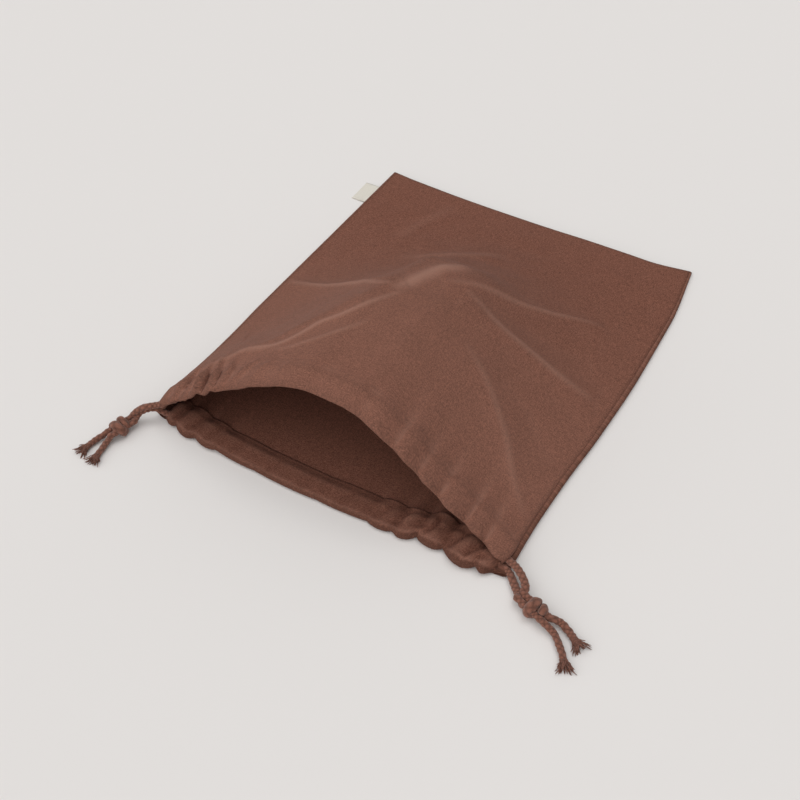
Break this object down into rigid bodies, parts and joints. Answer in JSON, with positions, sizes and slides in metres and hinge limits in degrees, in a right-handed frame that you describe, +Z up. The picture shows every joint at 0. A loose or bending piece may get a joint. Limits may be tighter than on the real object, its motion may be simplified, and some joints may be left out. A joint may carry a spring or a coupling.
{
  "type": "linen drawstring bread bag",
  "caption": "Flat brown linen bread bag lying on its back, its gathered mouth held open in an arch, knotted cords at both corners.",
  "frame": {"origin": "on the table, under the middle of the cloth", "axes": "+Y from the mouth to the closed end, +Z up, +X to the right seen from the mouth"},
  "size_m": [0.3941, 0.4407, 0.0958],
  "materials": {
    "linen": "matte washed linen",
    "cord": "matte braided cord",
    "label": "matte woven tape"
  },
  "bodies": {
    "root": {"back_panel": "linen", "front_panel": "linen", "label": "label", "right_strand_front": "cord", "right_strand_back": "cord", "right_knot": "cord", "right_tail_long": "cord", "right_tail_short": "cord", "left_strand_front": "cord", "left_strand_back": "cord", "left_knot": "cord", "left_tail_long": "cord", "left_tail_short": "cord"}
  },
  "joints": []
}
